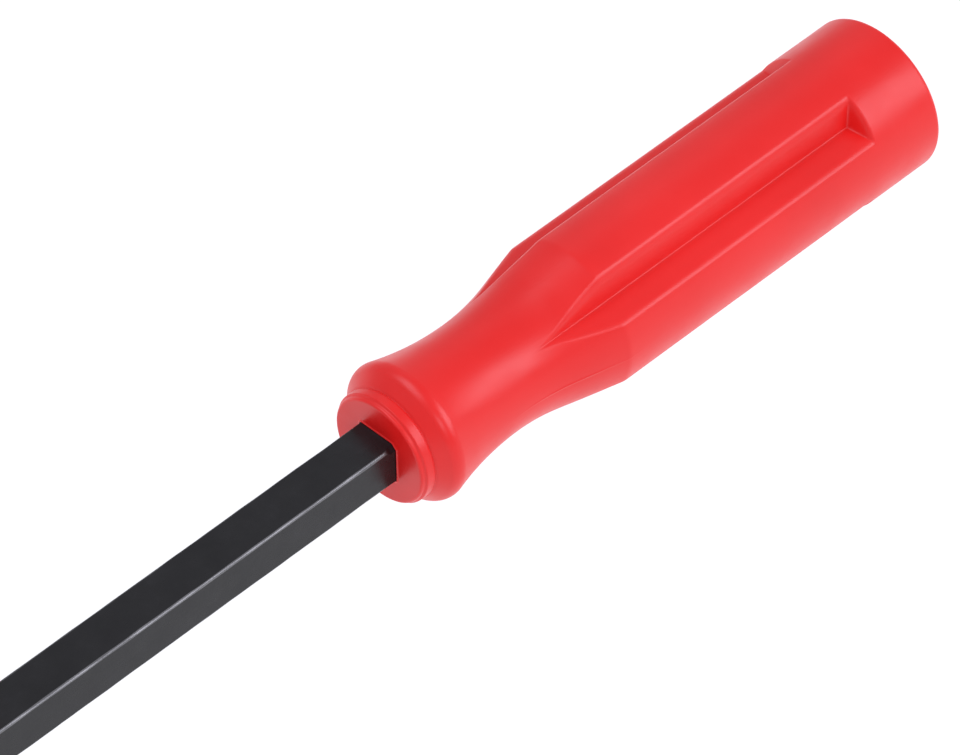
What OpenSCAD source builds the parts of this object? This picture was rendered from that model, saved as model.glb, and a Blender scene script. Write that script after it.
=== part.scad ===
// Pry bar: a square steel bar with a bent chisel tip, moulded into a fluted plastic handle.
// Units are millimetres. The origin is the centre of the butt face, on the handle's axis.
// +X points out of the butt, the tip points toward -X, and +Z is up: the tip bends down to -Z.

/* [Handle] */
// Length of the handle, butt face to nose
handle_len = 146; // [142:1:160]
// Diameter of the grip and of the round land at the butt
grip_d = 35.6; // [35:0.1:36]
// Length from the nose back to the shoulder of the grip
shoulder_from_nose = 53.8; // [53.4:0.1:54.4]
// Slope of the cone between the neck and the shoulder, in degrees
flare_angle = 14.5; // [14:0.1:15]
// Diameter of the neck where it is thinnest
neck_d = 26.1; // [25.8:0.1:26.4]
// Length from the nose back to the thinnest place on the neck
neck_from_nose = 28.5; // [28:0.1:29]
// Diameter of the rounded collar in front of the neck
collar_d = 31.7; // [31.4:0.1:32.2]
// Radius of the collar's crown, which runs into a 45-degree cone in front
collar_crown_r = 3.4; // [3.2:0.1:3.6]
// Length from the nose back to the middle of the crown
collar_from_nose = 8.1; // [8:0.1:8.3]
// Diameter of the nose ring
nose_d = 25.4; // [24.8:0.1:26]
// Radius of the nose ring's front edge
nose_edge_r = 1.4; // [1:0.1:1.8]
// Radius of the edge round the butt face
butt_edge_r = 1.2; // [0.8:0.1:2]

/* [Flutes] */
// Number of flutes, one over each corner of the bar
flute_count = 4; // [4:4:4]
// Distance from the axis to the bottom line of a flute
flute_bottom_r = 13.5; // [13.2:0.1:14.2]
// Width of a flute between its lips
flute_w = 10; // [8.5:0.1:10.5]
// Length from the butt face to the flutes' end walls, at the lips
flute_end = 18.3; // [16:0.1:24]
// Lean of a flute's end wall, in degrees
flute_end_lean = 22; // [10:1:30]

/* [Butt groove] */
// Outer diameter of the shallow ring groove in the butt face
groove_outer_d = 23; // [20:0.5:27]
// Inner diameter of the ring groove
groove_inner_d = 16; // [10:0.5:17]
// Depth of the ring groove
groove_depth = 0.8; // [0.5:0.1:1.5]

/* [Bar] */
// Width and thickness of the square bar
bar_w = 10; // [9.5:0.1:10.5]
// Chamfer along the bar's corners
bar_chamfer = 0.4; // [0.3:0.1:0.6]
// Length of bar in sight between the nose and the start of the bend
shank_len = 119; // [90:1:160]
// Radius of the bend at the bar's centre line
bend_r = 30; // [25:1:40]
// Angle of the bend, in degrees
bend_angle = 28; // [20:1:32]
// Thickness of the blade at its tip
tip_t = 1.6; // [1.2:0.1:2.4]
// Width of the blade at its tip
tip_w = 14; // [12:0.5:16]
// Chamfer along the blade's corners at the tip
tip_chamfer = 0.3; // [0.2:0.1:0.4]

/* [Tang] */
// Length of bar inside the handle
tang_len = 118; // [112:1:122]
// Chamfer along the tang's corners, which the mouth of the handle follows
tang_chamfer = 1.1; // [0.8:0.1:1.4]
// How far the tang's chamfer runs on in front of the nose
tang_lead = 1.2; // [0.8:0.1:3]
// Length over which the tang's chamfer dies out into the shank's
tang_fade = 1.6; // [1:0.1:3]
// Width of the tang's end, past its taper
tang_end_w = 6.4; // [5:0.1:8]
// Length of the taper at the tang's end
tang_taper_len = 7; // [4:0.5:10]
// Number of stations with a pair of retaining notches
notch_count = 3; // [2:1:4]
// Distance between two stations
notch_pitch = 24; // [18:1:26]
// Radius of the cutter that makes a notch
notch_r = 3; // [2:0.1:4]
// Depth of a notch
notch_depth = 1.1; // [0.6:0.1:1.5]
// Lip where the plastic meets the bar at the nose
mouth_lip = 0.3; // [0.2:0.05:0.5]

/* [Hidden] */

$fn = 96;
red = [0.86, 0.07, 0.06];
black = [0.07, 0.07, 0.08];
// How far a cutter reaches past the surface it cuts
over = 1;

grip_r = grip_d / 2;
neck_r = neck_d / 2;
shoulder_z = handle_len - shoulder_from_nose;
neck_z = handle_len - neck_from_nose;

// Arcs and lines of the outline cross at a slight angle, because a tangent join leaves slivers.
join_angle = 3;
join_depth = 0.5;

// Behind its thinnest place the neck follows an arc, which the flare's cone meets.
join_turn = flare_angle + join_angle;
neck_rear_r = ((shoulder_from_nose - neck_from_nose) * tan(flare_angle) - (grip_r - neck_r))
            / (sin(join_turn) * tan(flare_angle) - (1 - cos(join_turn)));
join_z = neck_z - neck_rear_r * sin(join_turn);
join_r = neck_r + neck_rear_r * (1 - cos(join_turn));
cone_end_z = neck_z - neck_rear_r * sin(flare_angle);
cone_end_r = join_r - (cone_end_z - join_z) * tan(flare_angle);

// In front of it the neck follows another arc, which cuts a little into the collar's crown.
crown_r = collar_d / 2 - collar_crown_r;
crown_z = handle_len - collar_from_nose;
neck_run = neck_from_nose - collar_from_nose;
neck_drop = neck_r - crown_r;
neck_front_r = (neck_run * neck_run + neck_drop * neck_drop - collar_crown_r * collar_crown_r)
             / (2 * (collar_crown_r - neck_drop)) + join_depth;
crown_rear_z =
    round(10 * (crown_z - collar_crown_r * neck_run / (neck_front_r + collar_crown_r))) / 10;

// The cone in front starts just inside the crown, in the direction of its 45-degree tangent.
front_run = collar_crown_r * cos(2 * join_angle) * cos(45);
front_r = crown_r + front_run;
front_z = crown_z + front_run;

nose_r = nose_d / 2;
front_end_r = nose_r - over;
front_end_z = front_z + front_r - front_end_r;
flute_depth = sqrt(grip_r * grip_r - flute_w * flute_w / 4) - flute_bottom_r;
flute_slope = flute_w / 2 / flute_depth;
flute_h = grip_r - flute_bottom_r + over;

// The lip's cutter flares at 45 degrees and ends as far outside the nose as it starts inside.
lip_w = bar_w + 4 * mouth_lip;

bend_steps = 14;
bend_x = -(handle_len + shank_len);
bend_drop = bend_r * (1 - cos(bend_angle));
// The blade is long enough for its tip to rest level with the underside of the grip.
blade_len = (grip_r - bend_drop - tip_t / 2 * cos(bend_angle)) / sin(bend_angle);
tang_x = -(handle_len - tang_len);

// Puts something drawn upward from the butt face along the handle's axis
module along_handle() {
    rotate([0, -90, 0]) children();
}

// A square or oblong section with cut corners
function section(w, h, c) = [
    [w / 2 - c, -h / 2], [w / 2, c - h / 2], [w / 2, h / 2 - c], [w / 2 - c, h / 2],
    [c - w / 2, h / 2], [-w / 2, h / 2 - c], [-w / 2, c - h / 2], [c - w / 2, -h / 2]
];

// The same section lifted along the handle's axis, or placed along the bar at a lean
function lifted(points, z) = [for (p = points) [p[0], p[1], z]];
function placed(points, x, z, lean) =
    [for (p = points) [x - p[0] * sin(lean), p[1], z + p[0] * cos(lean)]];

bar_section = section(bar_w, bar_w, bar_chamfer);
tang_section = section(bar_w, bar_w, tang_chamfer);

// One solid that runs through a row of placed sections
module run_through(rows) {
    n = len(rows[0]);
    last = len(rows) - 1;
    polyhedron(
        points = [for (row = rows, p = row) p],
        faces = concat(
            [[for (i = [0:n - 1]) i], [for (i = [0:n - 1]) n * last + n - 1 - i]],
            [
                for (k = [0:last - 1], i = [0:n - 1])
                    [n * k + (i + 1) % n, n * k + i, n * (k + 1) + i, n * (k + 1) + (i + 1) % n]
            ]
        )
    );
}

// A quarter of a disc, in the corner between +X and the side of X that dir_y gives
module quarter(r, dir_y) {
    intersection() {
        circle(r);
        translate([0, dir_y > 0 ? 0 : -r]) square(r);
    }
}

// Half of the handle's outline: radius to the right, distance from the butt face upward
module handle_outline() {
    difference() {
        union() {
            // Grip, with the rounded edge at the butt
            square([grip_r - butt_edge_r, shoulder_z]);
            translate([0, butt_edge_r]) square([grip_r, shoulder_z - butt_edge_r]);
            translate([grip_r - butt_edge_r, butt_edge_r]) quarter(butt_edge_r, -1);
            // Flare, and a blank for the neck
            polygon([
                [0, shoulder_z], [grip_r, shoulder_z], [cone_end_r, cone_end_z],
                [grip_r, cone_end_z], [grip_r, crown_rear_z], [0, crown_rear_z]
            ]);
            // Collar
            translate([crown_r, crown_z]) circle(collar_crown_r);
            polygon([
                [0, crown_rear_z - over], [crown_r, crown_rear_z - over], [crown_r, crown_z],
                [front_r, front_z], [front_end_r, front_end_z], [0, front_end_z]
            ]);
            // Nose ring
            translate([0, crown_z]) square([nose_r, handle_len - nose_edge_r - crown_z]);
            translate([0, crown_z]) square([nose_r - nose_edge_r, handle_len - crown_z]);
            translate([nose_r - nose_edge_r, handle_len - nose_edge_r]) quarter(nose_edge_r, 1);
        }
        // The neck's hollow, behind and in front of its thinnest place
        intersection() {
            translate([neck_r + neck_rear_r, neck_z]) circle(neck_rear_r, $fn = 360);
            square([2 * grip_r, neck_z]);
        }
        intersection() {
            translate([neck_r + neck_front_r, neck_z]) circle(neck_front_r, $fn = 360);
            translate([0, neck_z]) square([2 * grip_r, neck_from_nose]);
        }
    }
}

// One flute's cutter: a V that runs straight forward and out through the flare
module flute_cutter() {
    difference() {
        linear_extrude(height = neck_z)
            polygon([
                [flute_bottom_r, 0],
                [flute_bottom_r + flute_h, flute_slope * flute_h],
                [flute_bottom_r + flute_h, -flute_slope * flute_h]
            ]);
        // The end wall leans, so the flute is longer at its lips than at its bottom line
        translate([grip_r, 0, flute_end])
            rotate([0, flute_end_lean, 0])
                translate([-grip_r, -grip_r, -2 * grip_r]) cube(2 * grip_r);
    }
}

module butt_groove() {
    translate([0, 0, -over])
        difference() {
            cylinder(d = groove_outer_d, h = groove_depth + over);
            translate([0, 0, -over]) cylinder(d = groove_inner_d, h = groove_depth + 3 * over);
        }
}

// The part of the bar that the handle holds, with its notches and the first stretch in front
module tang() {
    difference() {
        translate([tang_x, 0, 0])
            along_handle() {
                run_through([
                    lifted(section(tang_end_w, tang_end_w, tang_chamfer), 0),
                    lifted(tang_section, tang_taper_len)
                ]);
                translate([0, 0, tang_taper_len])
                    linear_extrude(height = tang_len - tang_taper_len + tang_lead)
                        polygon(tang_section);
            }
        for (i = [1:notch_count], side = [-1, 1])
            translate([tang_x - i * notch_pitch, 0, side * (bar_w / 2 + notch_r - notch_depth)])
                rotate([90, 0, 0]) cylinder(r = notch_r, h = 2 * bar_w, center = true);
    }
}

// The rest of the bar: the straight shank, the bend and the blade
module shank() {
    run_through(concat(
        [
            placed(tang_section, -handle_len - tang_lead, 0, 0),
            placed(bar_section, -handle_len - tang_lead - tang_fade, 0, 0)
        ],
        [
            for (i = [0:bend_steps])
                let (a = bend_angle * i / bend_steps)
                    placed(bar_section, bend_x - bend_r * sin(a), -bend_r * (1 - cos(a)), a)
        ],
        [
            placed(
                section(tip_t, tip_w, tip_chamfer),
                bend_x - bend_r * sin(bend_angle) - blade_len * cos(bend_angle),
                -bend_drop - blade_len * sin(bend_angle),
                bend_angle
            )
        ]
    ));
}

module bar() {
    color(black) {
        tang();
        shank();
    }
}

module handle() {
    color(red)
        difference() {
            along_handle()
                difference() {
                    rotate_extrude() handle_outline();
                    for (i = [0:flute_count - 1])
                        rotate([0, 0, (i + 0.5) * 360 / flute_count]) flute_cutter();
                    butt_groove();
                    // The lip round the mouth
                    translate([0, 0, handle_len - mouth_lip])
                        run_through([
                            lifted(tang_section, 0),
                            lifted(section(lip_w, lip_w, tang_chamfer), 2 * mouth_lip)
                        ]);
                }
            tang();
        }
}

bar();
handle();
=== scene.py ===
# Pry bar: the visual model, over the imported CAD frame.
# Lengths named here are in millimetres, as in part.scad, and MM turns them into metres.
import math

import bmesh
import bpy
from mathutils import Matrix, Vector, noise


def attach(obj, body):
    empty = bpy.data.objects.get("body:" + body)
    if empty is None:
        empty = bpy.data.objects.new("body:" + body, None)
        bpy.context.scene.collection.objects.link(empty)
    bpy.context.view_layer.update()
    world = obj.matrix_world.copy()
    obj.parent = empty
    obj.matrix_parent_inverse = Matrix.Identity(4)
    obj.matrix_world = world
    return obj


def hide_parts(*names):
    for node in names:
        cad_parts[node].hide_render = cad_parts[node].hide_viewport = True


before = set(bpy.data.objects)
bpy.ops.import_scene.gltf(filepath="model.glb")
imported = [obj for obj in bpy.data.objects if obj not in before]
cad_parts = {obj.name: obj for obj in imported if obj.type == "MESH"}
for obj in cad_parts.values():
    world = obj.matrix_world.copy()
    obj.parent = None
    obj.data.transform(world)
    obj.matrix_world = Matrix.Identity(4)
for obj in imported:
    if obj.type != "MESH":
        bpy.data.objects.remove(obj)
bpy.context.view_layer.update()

MM = 0.001

# ---------------------------------------------------------------- sizes
# They are part.scad's, apart from the finer shape of the nose ring and the mouth, the dimple in
# the butt, the rounding of edges, and the bar's worn corners, the near one of which is also made
# lighter as a painted highlight. At the mouth part.scad cuts all four of the bar's corners wider,
# and this model cuts two.
HANDLE_LEN = 146.0
GRIP_R = 17.8
SHOULDER_Z = HANDLE_LEN - 53.8
FLARE_ANGLE = math.radians(14.5)
NECK_R = 13.05
NECK_Z = HANDLE_LEN - 28.5
CROWN_R = 3.4
CROWN_CENTRE_R = 15.85 - CROWN_R
CROWN_Z = HANDLE_LEN - 8.1
NOSE_R = 12.7
NOSE_EDGE_R = 0.6
NOSE_STEP_Z = HANDLE_LEN - 1.3
NOSE_STEP = 0.5
NOSE_GROOVE = 0.22
BUTT_EDGE_R = 1.2
SHOULDER_R = 5.0
CONE_ANGLE = 45.0
GROOVE_OUTER_R = 11.5
GROOVE_INNER_R = 8.0
GROOVE_DEPTH = 0.8
GATE_R = 1.5
GATE_DEPTH = 0.35
GROOVE_EASE = 0.25

# Both arcs of the neck are tangent to what they run into: the flare's cone and the collar's crown.
FLARE_SPAN = (NECK_Z - SHOULDER_Z) * math.tan(FLARE_ANGLE) - (GRIP_R - NECK_R)
NECK_REAR_R = FLARE_SPAN / (
    math.sin(FLARE_ANGLE) * math.tan(FLARE_ANGLE) - (1 - math.cos(FLARE_ANGLE)))
NECK_RUN = CROWN_Z - NECK_Z
NECK_DROP = NECK_R - CROWN_CENTRE_R
NECK_FRONT_R = (NECK_RUN**2 + NECK_DROP**2 - CROWN_R**2) / (2 * (CROWN_R - NECK_DROP))

FLUTE_BOTTOM_R = 13.5
FLUTE_HALF_W = 5.0
FLUTE_SLOPE = FLUTE_HALF_W / (math.sqrt(GRIP_R**2 - FLUTE_HALF_W**2) - FLUTE_BOTTOM_R)
FLUTE_END = 18.3
FLUTE_END_LEAN = math.tan(math.radians(22.0))
# The flute's bottom line is eased by this angle, in radians, and its end wall by this fillet.
BOTTOM_EASE = 0.013
END_FILLET = 0.7
# A radius well outside the handle, where a flute cuts nothing
FAR_OUT = 40.0
LIP = 1.5
RUN_OUT_LIP = 0.4
RUN_OUT_Z = 108.0
RUN_OUT_LEN = 14.0
PARTING_H = 0.13
PARTING_W = 0.2
# The radius at which the mould line has that width, and the stretch of handle where it shows
PARTING_R = 16.0
PARTING_Z = 105.0
PARTING_LEN = 9.0
UNEVENNESS = 0.045
SKIN = 0.03
# Only the outline outside this radius carries flutes and unevenness.
SIDE_MIN_R = 12.9

BAR_HALF = 5.0
BAR_CHAMFER = 0.31
TANG_CHAMFER = 1.1
TANG_LEAD = 1.2
TANG_FADE = 1.6
TANG_X = -28.0
TANG_LEN = HANDLE_LEN + TANG_X
BEND_X = -265.0
BEND_R = 30.0
BEND_ANGLE = math.radians(28.0)
TIP_T = 1.6
TIP_W = 14.0
TIP_CHAMFER = 0.3
TIP_EASE = 0.35
TIP_EASE_LEN = 0.8
CORNER_SOFT = 0.12
TIP_WEAR_LEN = 2.2
CHAMFER_WAVER = 0.22
CHAMFER_LEAN = 0.45
DENT = 0.035
# The near corner's metal is made lighter than the other corners', partly as edge wear and partly as a
# painted highlight where the key light catches it.
NEAR_CORNER_WEAR_AND_SHEEN = 0.60
CORNER_WEAR = 0.2
BEND_DROP = BEND_R * (1 - math.cos(BEND_ANGLE))
BLADE_LEN = (GRIP_R - BEND_DROP - TIP_T / 2 * math.cos(BEND_ANGLE)) / math.sin(BEND_ANGLE)


def smooth_min(a, b, k):
    h = max(k - abs(a - b), 0.0) / k
    return min(a, b) - h * h * k / 4


def smooth_max(a, b, k):
    return -smooth_min(-a, -b, k)


def fractal(x, y, z):
    return noise.fractal(Vector((x, y, z)), 0.6, 2.0, 3)


def steps(a, b, pitch):
    """Values from a to b, both included, no further apart than pitch."""
    n = max(1, math.ceil(abs(b - a) / pitch - 1e-9))
    return [a + (b - a) * i / n for i in range(n + 1)]


def arc(cr, cz, r, start, end, pitch_deg):
    """Points (radius, distance from the butt) round a corner; angles in degrees from straight out."""
    return [
        (cr + r * math.cos(math.radians(t)), cz + r * math.sin(math.radians(t)))
        for t in steps(start, end, pitch_deg)
    ]


def line(r0, z0, r1, z1, pitch):
    n = max(1, math.ceil(math.hypot(r1 - r0, z1 - z0) / pitch - 1e-9))
    return [(r0 + (r1 - r0) * i / n, z0 + (z1 - z0) * i / n) for i in range(n + 1)]


def joined(*runs):
    out = []
    for run in runs:
        for p in run:
            if not out or math.dist(p, out[-1]) > 1e-4:
                out.append(p)
    return out


# ---------------------------------------------------------------- handle
def butt_outline():
    """From the axis out over the butt's disc, through its ring groove and round the edge."""
    dimple, floor, ease = GATE_DEPTH, GROOVE_DEPTH, GROOVE_EASE
    return joined(
        line(0.3, dimple, GATE_R - ease, dimple, 0.4),
        [(GATE_R - 0.1, dimple - 0.08), (GATE_R, dimple / 2), (GATE_R + 0.1, 0.06)],
        line(GATE_R + ease, 0.0, GROOVE_INNER_R - ease, 0.0, 1.0),
        arc(GROOVE_INNER_R - ease, ease, ease, -90, 0, 22.5),
        arc(GROOVE_INNER_R + ease, floor - ease, ease, 180, 90, 22.5),
        line(GROOVE_INNER_R + ease, floor, GROOVE_OUTER_R - ease, floor, 1.0),
        arc(GROOVE_OUTER_R - ease, floor - ease, ease, 90, 0, 22.5),
        arc(GROOVE_OUTER_R + ease, ease, ease, 180, 270, 22.5),
        line(GROOVE_OUTER_R + ease, 0.0, GRIP_R - BUTT_EDGE_R - 0.2, 0.0, 0.9),
        arc(GRIP_R - BUTT_EDGE_R, BUTT_EDGE_R, BUTT_EDGE_R, -90, 0, 9),
    )


def side_outline():
    """From the butt's edge along the grip, shoulder, neck and collar to the nose face."""
    tangent = SHOULDER_R * math.tan(FLARE_ANGLE / 2)
    shoulder = arc(
        GRIP_R - SHOULDER_R, SHOULDER_Z - tangent, SHOULDER_R, 0, math.degrees(FLARE_ANGLE), 2.0)
    cone_top = NECK_Z - NECK_REAR_R * math.sin(FLARE_ANGLE)
    cone_top_r = NECK_R + NECK_REAR_R * (1 - math.cos(FLARE_ANGLE))
    start_r, start_z = shoulder[-1]
    neck_rear = [
        (NECK_R + NECK_REAR_R * (1 - math.cos(t)), NECK_Z - NECK_REAR_R * math.sin(t))
        for t in steps(FLARE_ANGLE, 0.0, math.radians(0.4))
    ]
    turn = math.atan2(NECK_RUN, NECK_DROP + NECK_FRONT_R)
    neck_front = [
        (NECK_R + NECK_FRONT_R * (1 - math.cos(t)), NECK_Z + NECK_FRONT_R * math.sin(t))
        for t in steps(0.0, turn, math.radians(0.8))
    ]
    crown = arc(CROWN_CENTRE_R, CROWN_Z, CROWN_R, -math.degrees(turn), CONE_ANGLE, 3.0)
    cone_r, cone_z = crown[-1]
    # A narrow groove lies between the cone and the nose ring.
    groove_z = cone_z + cone_r - NOSE_R - NOSE_GROOVE
    groove_r = NOSE_R - NOSE_GROOVE
    rim_r = NOSE_R - NOSE_STEP
    # The outline is finely divided where the flutes' end walls cross it.
    wall_from, wall_to = FLUTE_END - 1.2, FLUTE_END + 3.2
    return joined(
        line(GRIP_R, 1.5, GRIP_R, wall_from, 1.6),
        line(GRIP_R, wall_from, GRIP_R, wall_to, 0.14),
        line(GRIP_R, wall_to, GRIP_R, SHOULDER_Z - 2.5, 2.2),
        line(GRIP_R, SHOULDER_Z - 2.5, *shoulder[0], 0.4),
        shoulder,
        line(start_r, start_z, cone_top_r, cone_top, 0.4),
        neck_rear,
        neck_front,
        crown,
        line(cone_r, cone_z, NOSE_R + NOSE_GROOVE, groove_z, 0.35),
        [
            (NOSE_R - 0.02, groove_z + 0.1), (groove_r, groove_z + 0.22),
            (groove_r, groove_z + 0.34), (NOSE_R - 0.06, groove_z + 0.48),
        ],
        line(NOSE_R, groove_z + 0.62, NOSE_R, NOSE_STEP_Z, 0.35),
        line(NOSE_R - 0.03, NOSE_STEP_Z + 0.1, rim_r + 0.12, NOSE_STEP_Z + 0.36, 0.1),
        line(rim_r + 0.04, NOSE_STEP_Z + 0.5, rim_r, HANDLE_LEN - NOSE_EDGE_R, 0.1),
        arc(rim_r - NOSE_EDGE_R, HANDLE_LEN - NOSE_EDGE_R, NOSE_EDGE_R, 0, 90, 11.25),
    )


def sector_angles():
    """Angles from a flute's middle to the middle of the lobe beside it, fine across the flute."""
    plain, wide = (
        math.degrees(math.atan2(BAR_HALF, BAR_HALF - cut)) - 45 for cut in (BAR_CHAMFER, TANG_CHAMFER))
    bottom = [0, 0.22, 0.45, 0.8, 1.2, plain, 2.2, 2.8, 3.4, 4.0, 4.6, 5.2, 5.9, 6.4, wide, 7.6]
    wall_and_lip = steps(8.1, 13.6, 0.55) + steps(14.0, 19.0, 0.36)
    lobe = [19.6, 20.4, 21.5, 23, 25, 27.5, 30, 32.5, 35, 37.5, 40]
    return bottom + wall_and_lip + lobe + [42, 43.2, 44, 44.5, 44.8, 45]


def around():
    half = sector_angles()
    one = [-a for a in reversed(half[1:-1])] + half
    return [math.radians(a + 45 + 90 * q) for q in range(4) for a in one]


def flute_offset(angle):
    """Signed angle from the middle of the nearest flute."""
    return angle % (math.pi / 2) - math.pi / 4


def flute_floor(offset, z):
    """How far from the axis the material reaches inside a flute, in this direction."""
    a = math.sqrt(offset * offset + BOTTOM_EASE**2)
    wall = FLUTE_SLOPE * FLUTE_BOTTOM_R / max(FLUTE_SLOPE * math.cos(a) - math.sin(a), 0.05)
    end = (GRIP_R - (z - FLUTE_END) / FLUTE_END_LEAN) / math.cos(a)
    return smooth_max(min(wall, FAR_OUT), min(end, FAR_OUT), END_FILLET)


def lip_width(z):
    """The flutes' lips are rounded widely along the grip and sharply where the flutes run out."""
    part = min(max((RUN_OUT_Z - z) / RUN_OUT_LEN, 0.0), 1.0)
    return RUN_OUT_LIP + (LIP - RUN_OUT_LIP) * part * part * (3 - 2 * part)


def parting_ridge(angle, z):
    """The faint line that the two halves of the mould leave at +Y and -Y, behind the neck."""
    away = abs(math.remainder(angle, math.pi))
    near_neck = math.exp(-(((z - PARTING_Z) / PARTING_LEN) ** 2))
    return PARTING_H * near_neck * math.exp(-((away * PARTING_R / PARTING_W) ** 2))


def surface_radius(r, z, angle):
    """The moulding's real radius at one point of its outline, with its flutes and unevenness."""
    if r < SIDE_MIN_R:
        return r
    floor = flute_floor(flute_offset(angle), z)
    out = smooth_min(r, floor, lip_width(z)) if z < NECK_Z else r
    y, x = out * math.cos(angle), out * math.sin(angle)
    sink = 0.5 + 0.5 * fractal(x / 14, y / 14, z / 24 + 3.1)
    return out - UNEVENNESS * sink - SKIN + parting_ridge(angle, z)


# Each ring round the mouth: how far outside the bar it lies, and how far behind the nose face
MOUTH_BEAD = (
    (0.45, 0.0), (0.38, -0.05), (0.29, -0.14), (0.19, -0.17), (0.1, -0.13), (0.04, -0.03),
    (0.02, 0.15),
)
MOUTH_WALL = ((0.015, 0.36), (0.015, 4.0), (0.015, 40.0), (0.015, TANG_LEN))


def mouth_radius(angle, grow):
    """How far from the axis the cut-cornered square of the mouth lies, grown by this much."""
    a = math.remainder(angle, math.pi / 2)
    flat = (BAR_HALF + grow) / math.cos(a)
    b = math.remainder(angle - math.pi / 4, math.pi / 2)
    cut = TANG_CHAMFER if math.sin(2 * angle) < 0 else BAR_CHAMFER
    corner = ((2 * BAR_HALF - cut) / math.sqrt(2) + grow) / math.cos(b)
    return min(flat, corner)


def build_handle():
    angles = around()
    rings = []
    for r, z in butt_outline() + side_outline():
        rings.append([(surface_radius(r, z, a), z, a) for a in angles])
    # The nose face runs in to the mouth, whose lip turns down round the bar.
    face_r = NOSE_R - NOSE_STEP - NOSE_EDGE_R
    for part in (0.03, 0.2, 0.4, 0.6, 0.8, 0.93):
        rings.append([
            (face_r + (mouth_radius(a, 0.5) - face_r) * part, HANDLE_LEN, a) for a in angles
        ])
    for grow, down in MOUTH_BEAD + MOUTH_WALL:
        rings.append([(mouth_radius(a, grow), HANDLE_LEN - down, a) for a in angles])

    verts = [(-z * MM, r * math.cos(a) * MM, r * math.sin(a) * MM)
             for ring in rings for r, z, a in ring]
    n = len(angles)
    faces = [
        (i * n + j, (i + 1) * n + j, (i + 1) * n + (j + 1) % n, i * n + (j + 1) % n)
        for i in range(len(rings) - 1) for j in range(n)
    ]
    for ring, order in ((0, -1), (len(rings) - 1, 1)):
        z = rings[ring][0][1]
        verts.append((-z * MM, 0.0, 0.0))
        centre = len(verts) - 1
        for j in range(n):
            a, b = ring * n + j, ring * n + (j + 1) % n
            faces.append((centre, a, b) if order < 0 else (centre, b, a))
    return mesh_object("moulded_handle", verts, faces)


def mesh_object(name, verts, faces):
    mesh = bpy.data.meshes.new(name)
    mesh.from_pydata(verts, [], faces)
    mesh.validate()
    bm = bmesh.new()
    bm.from_mesh(mesh)
    bmesh.ops.recalc_face_normals(bm, faces=bm.faces)
    bm.to_mesh(mesh)
    bm.free()
    mesh.polygons.foreach_set("use_smooth", [True] * len(mesh.polygons))
    obj = bpy.data.objects.new(name, mesh)
    bpy.context.scene.collection.objects.link(obj)
    return obj


# ---------------------------------------------------------------- bar
def bar_stations():
    """One row for each section along the bar, from the tang's end to the tip.

    A row is the distance along the bar, the bar's whole length, x and z of the centre line, the
    direction it has turned, half the width, half the thickness, and the chamfers of its plain
    corners and of its two wider ones."""
    straight = TANG_X - BEND_X
    bend = BEND_R * BEND_ANGLE
    total = straight + bend + BLADE_LEN
    along = joined_values(
        steps(0, TANG_LEN - 3, 8.0),
        steps(TANG_LEN - 3, TANG_LEN + 4, 0.25),
        steps(TANG_LEN + 4, straight, 1.0),
        steps(straight, straight + bend, 0.6),
        steps(straight + bend, total - TIP_EASE_LEN, 0.8),
        steps(total - TIP_EASE_LEN, total - 0.12, 0.17),
    )
    out = []
    for s in along:
        if s <= straight:
            x, z, turn = TANG_X - s, 0.0, 0.0
        elif s <= straight + bend:
            turn = (s - straight) / BEND_R
            x = BEND_X - BEND_R * math.sin(turn)
            z = -BEND_R * (1 - math.cos(turn))
        else:
            turn, d = BEND_ANGLE, s - straight - bend
            x = BEND_X - BEND_R * math.sin(turn) - d * math.cos(turn)
            z = -BEND_DROP - d * math.sin(turn)
        part = max(0.0, (s - straight - bend) / BLADE_LEN)
        # The taper starts softly.
        part = part - 0.06 * math.exp(-part * 7) * (1 - math.exp(-part * 30))
        half_w = BAR_HALF + (TIP_W / 2 - BAR_HALF) * part
        half_t = BAR_HALF + (TIP_T / 2 - BAR_HALF) * part
        chamfer = BAR_CHAMFER + (TIP_CHAMFER - BAR_CHAMFER) * part
        # Two opposite corners are cut wider in the handle and for a little way in front of it.
        ahead = (s - TANG_LEN - TANG_LEAD) / TANG_FADE
        fade = 1 - min(max(ahead, 0.0), 1.0)
        wider = chamfer + (TANG_CHAMFER - BAR_CHAMFER) * fade * fade * (3 - 2 * fade)
        out.append((s, total, x, z, turn, half_w, half_t, (chamfer, wider)))
    return out


def joined_values(*runs):
    out = []
    for run in runs:
        for v in run:
            if not out or v - out[-1] > 1e-6:
                out.append(v)
    return out


def bar_section(half_w, half_t, chamfers, lean, soft):
    """Points round the section, each with whether it lies on a cut corner.

    The cut leans a little to one side or the other, and its own two edges are eased."""
    corners = []
    for sy, sz in ((1, 1), (-1, 1), (-1, -1), (1, -1)):
        chamfer = chamfers[0] if sy * sz > 0 else chamfers[1]
        on_side = (sy * half_w, sz * (half_t - chamfer * (1 + lean)))
        on_top = (sy * (half_w - chamfer * (1 - lean)), sz * half_t)
        corners.append((on_side, on_top) if sy * sz > 0 else (on_top, on_side))
    ring = [p for pair in corners for p in pair]
    out = []
    n = len(ring)
    for i, p in enumerate(ring):
        before, after = ring[i - 1], ring[(i + 1) % n]
        for other, first in ((before, True), (after, False)):
            d = math.dist(p, other)
            t = min(soft / d, 0.3)
            q = (p[0] + (other[0] - p[0]) * t, p[1] + (other[1] - p[1]) * t)
            if first:
                out.append((q, 1.0))
                first_q = q
            else:
                mid = tuple(p[k] * 0.5 + (first_q[k] + q[k]) * 0.25 for k in (0, 1))
                out.append((mid, 1.0))
                out.append((q, 1.0))
        if i % 2 == 1:
            # Points across the flat to the next corner
            near = 2 * soft / math.dist(p, after)
            for k in (near, 0.3, 0.5, 0.7, 1 - near):
                out.append(((p[0] + (after[0] - p[0]) * k, p[1] + (after[1] - p[1]) * k), 0.0))
    return out


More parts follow.
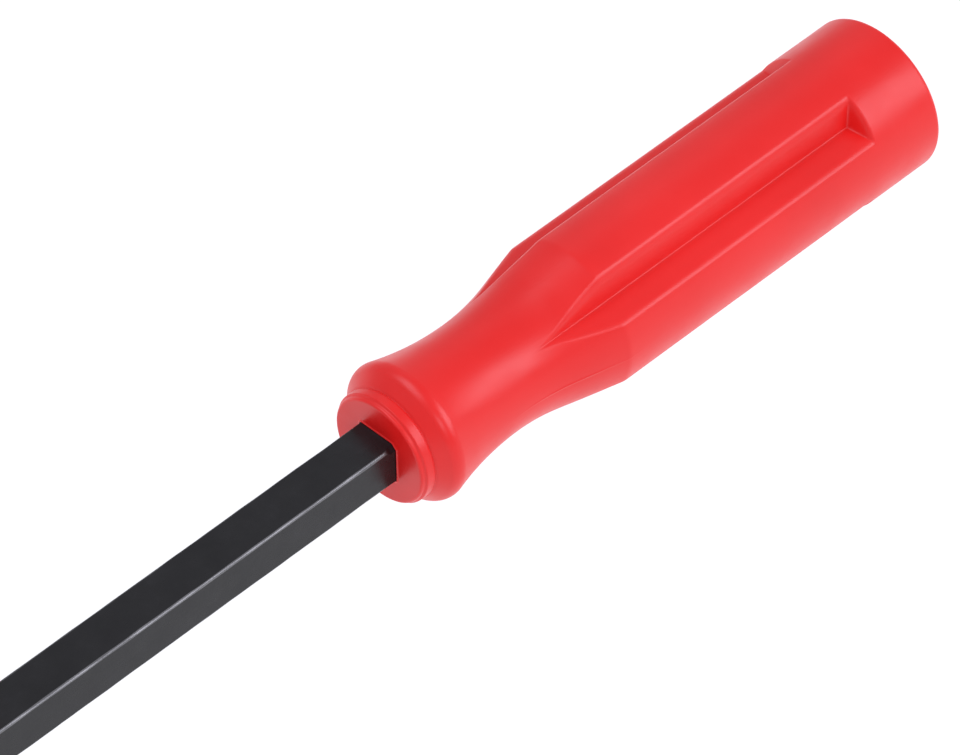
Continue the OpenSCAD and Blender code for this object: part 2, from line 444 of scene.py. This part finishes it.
def build_bar():
    verts, faces, wear_and_sheen = [], [], []
    rings = []
    for s, total, x, z, turn, half_w, half_t, chamfers in bar_stations():
        shown = s > TANG_LEN + 0.5
        to_tip = total - s
        if to_tip < TIP_EASE_LEN:
            # The tip's edge is eased, so the last sections shrink a little.
            ease = TIP_EASE * (1 - math.sqrt(max(0.0, 1 - (1 - to_tip / TIP_EASE_LEN) ** 2)))
            half_w, half_t = half_w - ease, half_t - ease
        waver = CHAMFER_WAVER * fractal(s / 13, 0.3, 7.7) if shown else 0.0
        lean = CHAMFER_LEAN * fractal(s / 16, 4.4, 1.2) if shown else 0.0
        chamfers = [c * (1 + waver) for c in chamfers]
        section = bar_section(half_w, half_t, chamfers, lean, CORNER_SOFT)
        up = (-math.sin(turn), math.cos(turn))
        tip = max(0.0, 1 - to_tip / TIP_WEAR_LEN)
        # The mouth's wider cuts are as black as the flats.
        clear = min(max(s - TANG_LEN - TANG_LEAD - TANG_FADE * 0.6, 0.0), 1.0)
        ring = []
        for (y, t), edge in section:
            if shown:
                dent = DENT * (0.5 + 0.5 * fractal(s / 9, y / 5 + 11, t / 5))
                size = math.hypot(y, t)
                y, t = y * (1 - dent / size), t * (1 - dent / size)
            ring.append(len(verts))
            verts.append(((x + up[0] * t) * MM, y * MM, (z + up[1] * t) * MM))
            # The near corner gets more of the lighter metal than the others: partly edge wear, partly
            # a painted highlight.
            rubbed_and_sheen = NEAR_CORNER_WEAR_AND_SHEEN if y < 0 < t else CORNER_WEAR
            wear_and_sheen.append(max(edge * rubbed_and_sheen * clear, tip))
        rings.append(ring)
    for a, b in zip(rings, rings[1:]):
        n = len(a)
        faces += [(a[j], b[j], b[(j + 1) % n], a[(j + 1) % n]) for j in range(n)]
    faces += [tuple(reversed(rings[0])), tuple(rings[-1])]
    obj = mesh_object("square_bar", verts, faces)
    layer = obj.data.attributes.new("wear_and_sheen", "FLOAT", "POINT")
    layer.data.foreach_set("value", wear_and_sheen)
    return obj


# ---------------------------------------------------------------- materials
def new_material(name):
    mat = bpy.data.materials.new(name)
    mat.use_nodes = True
    tree = mat.node_tree
    tree.nodes.clear()
    out = tree.nodes.new("ShaderNodeOutputMaterial")
    shader = tree.nodes.new("ShaderNodeBsdfPrincipled")
    tree.links.new(shader.outputs["BSDF"], out.inputs["Surface"])
    return mat, tree, shader


def add_noise(tree, coords, scale, detail, roughness=0.5, stretch=None):
    node = tree.nodes.new("ShaderNodeTexNoise")
    node.inputs["Scale"].default_value = scale
    node.inputs["Detail"].default_value = detail
    node.inputs["Roughness"].default_value = roughness
    if stretch:
        mapping = tree.nodes.new("ShaderNodeMapping")
        mapping.inputs["Scale"].default_value = stretch
        tree.links.new(coords, mapping.inputs["Vector"])
        coords = mapping.outputs["Vector"]
    tree.links.new(coords, node.inputs["Vector"])
    return node.outputs["Fac"]


def ramp(tree, value, stops):
    node = tree.nodes.new("ShaderNodeValToRGB")
    while len(node.color_ramp.elements) < len(stops):
        node.color_ramp.elements.new(0.5)
    for element, (place, colour) in zip(node.color_ramp.elements, stops):
        element.position = place
        element.color = (*colour, 1.0)
    tree.links.new(value, node.inputs["Fac"])
    return node.outputs["Color"]


def spread(tree, value, low, high, out_low, out_high):
    node = tree.nodes.new("ShaderNodeMapRange")
    for socket, number in (("From Min", low), ("From Max", high), ("To Min", out_low),
                           ("To Max", out_high)):
        node.inputs[socket].default_value = number
    tree.links.new(value, node.inputs["Value"])
    return node.outputs["Result"]


def multiply(tree, a, b):
    node = tree.nodes.new("ShaderNodeMath")
    node.operation = "MULTIPLY"
    tree.links.new(a, node.inputs[0])
    tree.links.new(b, node.inputs[1])
    return node.outputs["Value"]


def bump(tree, height, strength, distance, under=None):
    node = tree.nodes.new("ShaderNodeBump")
    node.inputs["Strength"].default_value = strength
    node.inputs["Distance"].default_value = distance
    tree.links.new(height, node.inputs["Height"])
    if under is not None:
        tree.links.new(under, node.inputs["Normal"])
    return node.outputs["Normal"]


def plastic_material():
    mat, tree, shader = new_material("red_plastic")
    coords = tree.nodes.new("ShaderNodeTexCoord").outputs["Object"]
    cloud = add_noise(tree, coords, 38, 4)
    colour = ramp(tree, cloud, [
        (0.30, (0.75, 0.007, 0.006)),
        (0.52, (0.79, 0.009, 0.008)),
        (0.74, (0.82, 0.012, 0.011)),
    ])
    tree.links.new(colour, shader.inputs["Base Color"])
    haze = add_noise(tree, coords, 130, 5, 0.6)
    tree.links.new(spread(tree, haze, 0.3, 0.7, 0.30, 0.40), shader.inputs["Roughness"])
    shader.inputs["IOR"].default_value = 1.49
    shader.inputs["Subsurface Weight"].default_value = 0.08
    shader.inputs["Subsurface Radius"].default_value = (0.9, 0.12, 0.08)
    shader.inputs["Subsurface Scale"].default_value = 0.0015
    grain = add_noise(tree, coords, 2600, 2)
    drawn = add_noise(tree, coords, 420, 3, 0.5, stretch=(0.06, 1.0, 1.0))
    swell = add_noise(tree, coords, 90, 2)
    normal = bump(tree, swell, 0.25, 0.0002)
    normal = bump(tree, drawn, 0.12, 0.00006, normal)
    normal = bump(tree, grain, 0.10, 0.00002, normal)
    tree.links.new(normal, shader.inputs["Normal"])
    return mat


def steel_material():
    mat, tree, shader = new_material("black_steel")
    coords = tree.nodes.new("ShaderNodeTexCoord").outputs["Object"]
    mottle = add_noise(tree, coords, 150, 6, 0.62)
    colour = ramp(tree, mottle, [
        (0.30, (0.008, 0.008, 0.009)),
        (0.55, (0.011, 0.011, 0.012)),
        (0.78, (0.016, 0.016, 0.018)),
    ])
    wear_and_sheen = tree.nodes.new("ShaderNodeAttribute")
    wear_and_sheen.attribute_name = "wear_and_sheen"
    rub = add_noise(tree, coords, 160, 3, 0.5)
    patchy = spread(tree, rub, 0.35, 0.65, 0.65, 1.0)
    mask = multiply(tree, wear_and_sheen.outputs["Fac"], patchy)
    # Lighter grey metal along the corners and the tip: edge wear, and on the near corner also a
    # painted highlight.
    mix = tree.nodes.new("ShaderNodeMix")
    mix.data_type = "RGBA"
    tree.links.new(mask, mix.inputs["Factor"])
    tree.links.new(colour, mix.inputs["A"])
    mix.inputs["B"].default_value = (0.34, 0.34, 0.35, 1)
    tree.links.new(mix.outputs["Result"], shader.inputs["Base Color"])
    tree.links.new(mask, shader.inputs["Metallic"])
    haze = add_noise(tree, coords, 320, 4, 0.6)
    tree.links.new(spread(tree, haze, 0.3, 0.7, 0.24, 0.36), shader.inputs["Roughness"])
    shader.inputs["IOR"].default_value = 1.33
    scale = add_noise(tree, coords, 700, 4, 0.6)
    drawn = add_noise(tree, coords, 240, 3, 0.5, stretch=(0.12, 1.0, 1.0))
    normal = bump(tree, drawn, 0.2, 0.0001)
    normal = bump(tree, scale, 0.12, 0.00005, normal)
    tree.links.new(normal, shader.inputs["Normal"])
    return mat


def floor_material():
    mat = bpy.data.materials.new("pale_floor")
    mat.use_nodes = True
    tree = mat.node_tree
    tree.nodes.clear()
    out = tree.nodes.new("ShaderNodeOutputMaterial")
    add = tree.nodes.new("ShaderNodeAddShader")
    glow = tree.nodes.new("ShaderNodeEmission")
    glow.inputs["Color"].default_value = (1.0, 1.0, 1.05, 1)
    glow.inputs["Strength"].default_value = 1.0
    matte = tree.nodes.new("ShaderNodeBsdfDiffuse")
    matte.inputs["Color"].default_value = (0.06, 0.06, 0.06, 1)
    tree.links.new(glow.outputs[0], add.inputs[0])
    tree.links.new(matte.outputs[0], add.inputs[1])
    tree.links.new(add.outputs[0], out.inputs["Surface"])
    return mat


# ---------------------------------------------------------------- the pieces
handle = build_handle()
handle.data.materials.append(plastic_material())
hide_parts("handle")
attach(handle, "root")

bar = build_bar()
bar.data.materials.append(steel_material())
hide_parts("bar")
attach(bar, "root")

# ---------------------------------------------------------------- stage
# How far the floor lies below the handle
FLOOR_DROP = 0.2
# Half the floor's width, in metres
FLOOR_HALF = 6.0
floor_mesh = bpy.data.meshes.new("floor")
floor_z = -GRIP_R * MM - FLOOR_DROP * MM
floor_corners = ((-1, -1), (1, -1), (1, 1), (-1, 1))
floor_mesh.from_pydata(
    [(x * FLOOR_HALF, y * FLOOR_HALF, floor_z) for x, y in floor_corners], [], [(0, 1, 2, 3)])
floor = bpy.data.objects.new("floor", floor_mesh)
floor.data.materials.append(floor_material())
bpy.context.scene.collection.objects.link(floor)

world = bpy.data.worlds.new("studio")
world.use_nodes = True
background = world.node_tree.nodes["Background"]
background.inputs["Color"].default_value = (0.98, 0.98, 1.04, 1)
background.inputs["Strength"].default_value = 0.55
bpy.context.scene.world = world


# The point that the lights face, in metres
LIT_MIDDLE = Vector((-0.10, 0, 0))
LIGHT_COLOUR = (0.98, 0.97, 1.08)


def softbox(name, towards, distance, width, height, power):
    """A soft light in this direction from the middle of the object, facing it."""
    data = bpy.data.lights.new(name, "AREA")
    data.shape = "RECTANGLE"
    data.size, data.size_y = width, height
    data.energy = power
    data.color = LIGHT_COLOUR
    obj = bpy.data.objects.new(name, data)
    d = Vector(towards).normalized()
    obj.location = LIT_MIDDLE + d * distance
    obj.rotation_euler = d.to_track_quat("Z", "Y").to_euler()
    bpy.context.scene.collection.objects.link(obj)


# Name, direction, distance, width and height in metres, and power in watts
softbox("key", (0.50, -0.70, 0.52), 1.6, 1.1, 0.9, 10.5)
softbox("top", (-0.35, 0.25, 1.0), 1.9, 1.4, 1.0, 11)
softbox("back", (0.50, 0.50, 0.71), 1.8, 0.8, 0.7, 0.4)
softbox("edge", (-0.36, -0.76, 0.53), 1.7, 0.5, 0.4, 2.6)

# ---------------------------------------------------------------- camera
# TILT is how far the camera stands toward the tip, and AROUND how far it turns up from -Y.
TILT = math.radians(29.7)
AROUND = math.radians(54.5)
IMAGE_ANGLE = math.radians(35.8)
# The point on the handle's axis that it looks at, and how far from there it stands, in metres
AIM = Vector((-0.1173, 0, 0))
CAMERA_DISTANCE = 1.544
# How far the picture's middle lies from the axis, in millimetres
AIM_ACROSS = 0.13
CAMERA_LENS = 289
SENSOR_WIDTH = 36
to_camera = Vector((-math.sin(TILT), -math.cos(TILT) * math.cos(AROUND),
                    math.cos(TILT) * math.sin(AROUND)))
# The handle's axis, as the image shows it, rises to the right at IMAGE_ANGLE.
axis_seen = (Vector((1, 0, 0)) - to_camera * to_camera.x).normalized()
across_seen = to_camera.cross(axis_seen)
right = axis_seen * math.cos(IMAGE_ANGLE) - across_seen * math.sin(IMAGE_ANGLE)
up = to_camera.cross(right)
camera_data = bpy.data.cameras.new("camera")
camera_data.lens = CAMERA_LENS
camera_data.sensor_width = SENSOR_WIDTH
camera_data.clip_start = 0.01
camera = bpy.data.objects.new("camera", camera_data)
camera.matrix_world = Matrix((
    (right.x, up.x, to_camera.x, 0), (right.y, up.y, to_camera.y, 0),
    (right.z, up.z, to_camera.z, 0), (0, 0, 0, 1)))
camera.location = AIM + across_seen * AIM_ACROSS * MM + to_camera * CAMERA_DISTANCE
bpy.context.scene.collection.objects.link(camera)
bpy.context.scene.camera = camera
bpy.context.scene.view_settings.view_transform = "Standard"
